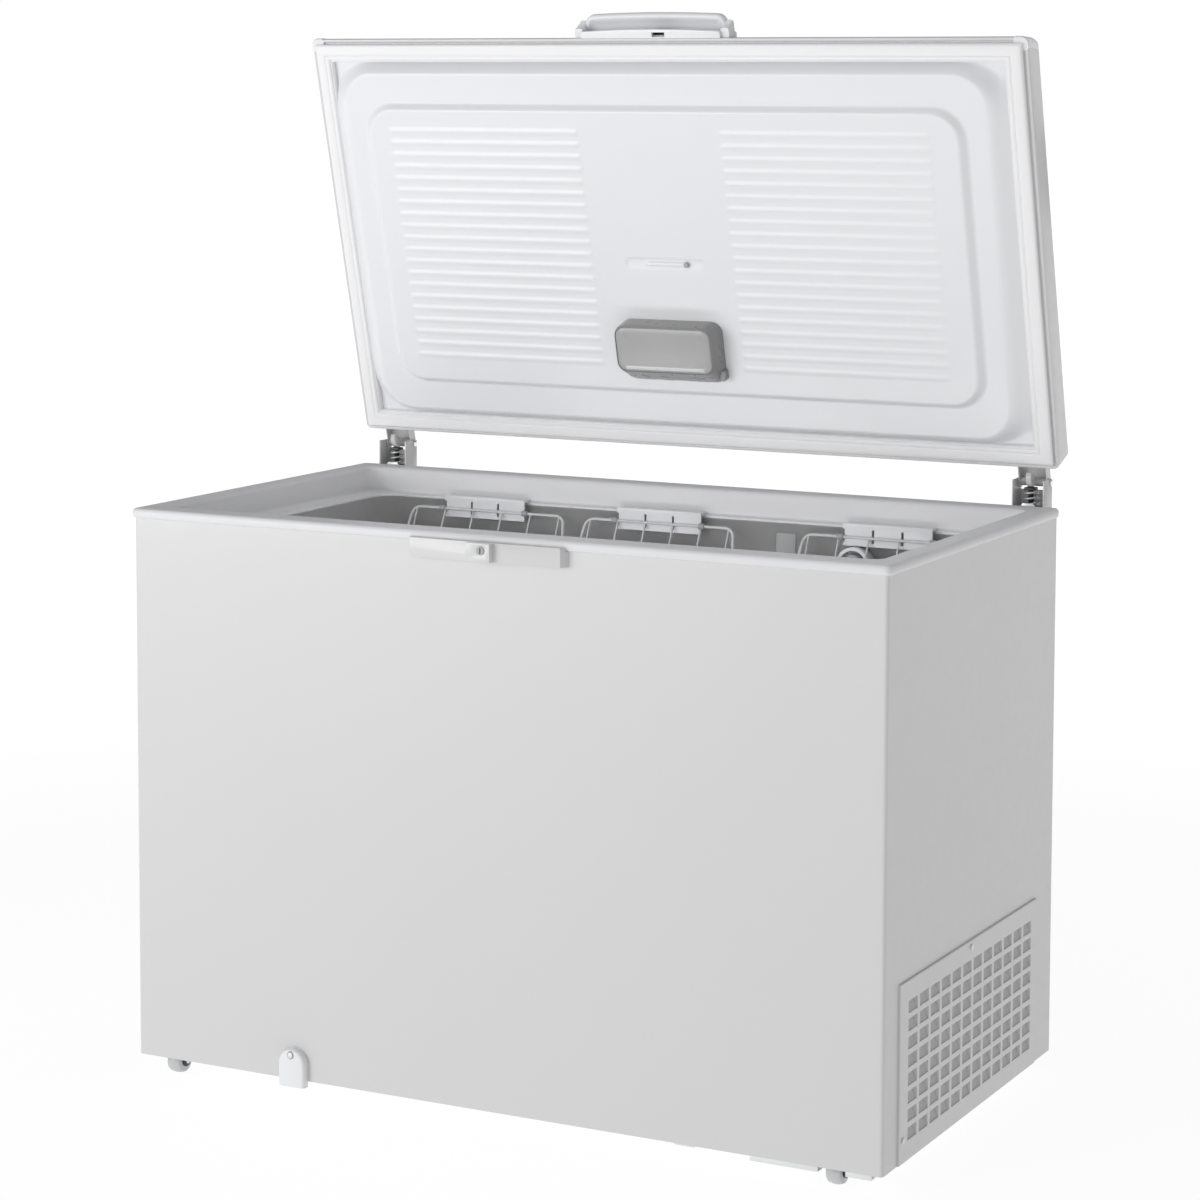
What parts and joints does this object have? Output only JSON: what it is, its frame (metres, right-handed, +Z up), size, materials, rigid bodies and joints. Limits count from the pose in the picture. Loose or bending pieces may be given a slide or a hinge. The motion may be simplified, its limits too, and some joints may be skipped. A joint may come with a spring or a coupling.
{
  "type": "chest freezer",
  "caption": "Wide chest freezer on rollers with a counterbalanced lockable lid held open, sliding wire baskets, lid lamp and louvred side grille.",
  "frame": {"origin": "on the floor under the middle of the object's width and depth, measured with the lid open as it is at rest", "axes": "+X to the right seen from the front, +Y to the back, +Z up; the front face looks along -Y"},
  "size_m": [1.1895, 0.7294, 1.5603],
  "materials": {
    "painted_steel": "gloss",
    "white_plastic": "satin",
    "satin_white_plastic": "satin",
    "liner_aluminium": "satin",
    "foam": "matte",
    "zinc_steel": "satin",
    "chrome": "polished",
    "black_steel": "satin",
    "black_plastic": "matte",
    "grey_plastic": "matte",
    "roller_plastic": "satin",
    "gasket_rubber": "matte",
    "black_rubber": "matte",
    "copper": "satin",
    "coated_wire": "satin",
    "smoked_plastic": "satin",
    "bulb_glass": "gloss",
    "spring_steel": "satin"
  },
  "bodies": {
    "cabinet": {"cabinet_shell": "painted_steel", "rear_panel": "painted_steel", "base_panel": "zinc_steel", "inner_liner": "liner_aluminium", "cabinet_foam": "foam", "rim_frame": "satin_white_plastic", "evaporator_coil": "copper", "condenser_coil": "black_steel", "compressor_tray": "zinc_steel", "compressor": "black_steel", "compressor_mounts": "black_rubber", "relay_box": "black_plastic", "filter_drier": "copper", "refrigerant_tubes": "copper", "thermostat": "white_plastic", "cord_gland": "black_plastic", "side_grille": "satin_white_plastic", "cover_screws": "zinc_steel", "lock_plate": "white_plastic", "drain_cover": "white_plastic", "drain_tube": "satin_white_plastic", "probe_housing": "white_plastic", "probe_tube": "grey_plastic", "liner_plate": "grey_plastic", "roller_brackets": "black_steel", "roller_axles": "zinc_steel", "hinge_base_left": "painted_steel", "hinge_base_right": "painted_steel", "hinge_screws": "zinc_steel", "hinge_pins": "chrome", "hinge_spring_left": "spring_steel", "hinge_spring_right": "spring_steel"},
    "lid": {"lid_skin": "painted_steel", "lid_liner": "white_plastic", "lid_foam": "foam", "lid_gasket": "gasket_rubber", "lid_handle": "white_plastic", "lid_handle_shelf": "white_plastic", "lamp_cover": "smoked_plastic", "lamp_base": "white_plastic", "lamp_bulb": "bulb_glass", "lid_screws": "zinc_steel", "hinge_arm_left": "painted_steel", "hinge_arm_right": "painted_steel"},
    "lock": {"lock_cylinder": "chrome", "lock_tongue": "zinc_steel"},
    "drain_stopper": {"drain_plug": "grey_plastic"},
    "left_plunger": {"hinge_plunger_left": "black_steel"},
    "right_plunger": {"hinge_plunger_right": "black_steel"},
    "left_basket": {"basket_left": "coated_wire", "basket_grips_left": "white_plastic"},
    "middle_basket": {"basket_middle": "coated_wire", "basket_grips_middle": "white_plastic"},
    "right_basket": {"basket_right": "coated_wire", "basket_grips_right": "white_plastic"},
    "front_left_roller": {"roller_front_left": "roller_plastic"},
    "front_right_roller": {"roller_front_right": "roller_plastic"},
    "rear_left_roller": {"roller_rear_left": "roller_plastic"},
    "rear_right_roller": {"roller_rear_right": "roller_plastic"}
  },
  "joints": [
    {"name": "lid_hinge", "type": "hinge", "parent": "cabinet", "child": "lid", "pos_m": [0, 0.337, 0.869], "axis": [1, 0, 0], "range_deg": [-10, 75.6]},
    {"name": "lock_turn", "type": "hinge", "parent": "cabinet", "child": "lock", "pos_m": [0, -0.347, 0.818], "axis": [0, -1, 0], "range_deg": [0, 75]},
    {"name": "left_plunger_slide", "type": "slide", "parent": "cabinet", "child": "left_plunger", "axis": [0, 0, 1], "range_m": [-0.0187, 0.0025], "deforming": ["hinge_spring_left"]},
    {"name": "right_plunger_slide", "type": "slide", "parent": "cabinet", "child": "right_plunger", "axis": [0, 0, 1], "range_m": [-0.0187, 0.0025], "deforming": ["hinge_spring_right"]},
    {"name": "left_basket_slide", "type": "slide", "parent": "cabinet", "child": "left_basket", "axis": [1, 0, 0], "range_m": [-0.04, 0.003]},
    {"name": "middle_basket_slide", "type": "slide", "parent": "cabinet", "child": "middle_basket", "axis": [1, 0, 0], "range_m": [-0.004, 0.03]},
    {"name": "right_basket_slide", "type": "slide", "parent": "cabinet", "child": "right_basket", "axis": [1, 0, 0], "range_m": [-0.04, 0.025]},
    {"name": "drain_plug_pull", "type": "slide", "parent": "cabinet", "child": "drain_stopper", "axis": [0, 0, 1], "range_m": [0, 0.025]},
    {"name": "front_left_roller_spin", "type": "hinge", "parent": "cabinet", "child": "front_left_roller", "pos_m": [-0.538, -0.311, 0.019], "axis": [1, 0, 0], "continuous": true},
    {"name": "front_right_roller_spin", "type": "hinge", "parent": "cabinet", "child": "front_right_roller", "pos_m": [0.515, -0.311, 0.019], "axis": [1, 0, 0], "continuous": true},
    {"name": "rear_left_roller_spin", "type": "hinge", "parent": "cabinet", "child": "rear_left_roller", "pos_m": [-0.538, 0.271, 0.019], "axis": [1, 0, 0], "continuous": true},
    {"name": "rear_right_roller_spin", "type": "hinge", "parent": "cabinet", "child": "rear_right_roller", "pos_m": [0.515, 0.271, 0.019], "axis": [1, 0, 0], "continuous": true}
  ],
  "couplings": [
    {"joint": "left_plunger_slide", "follows": "lid_hinge", "m_per_rad": -0.014},
    {"joint": "right_plunger_slide", "follows": "lid_hinge", "m_per_rad": -0.014}
  ]
}
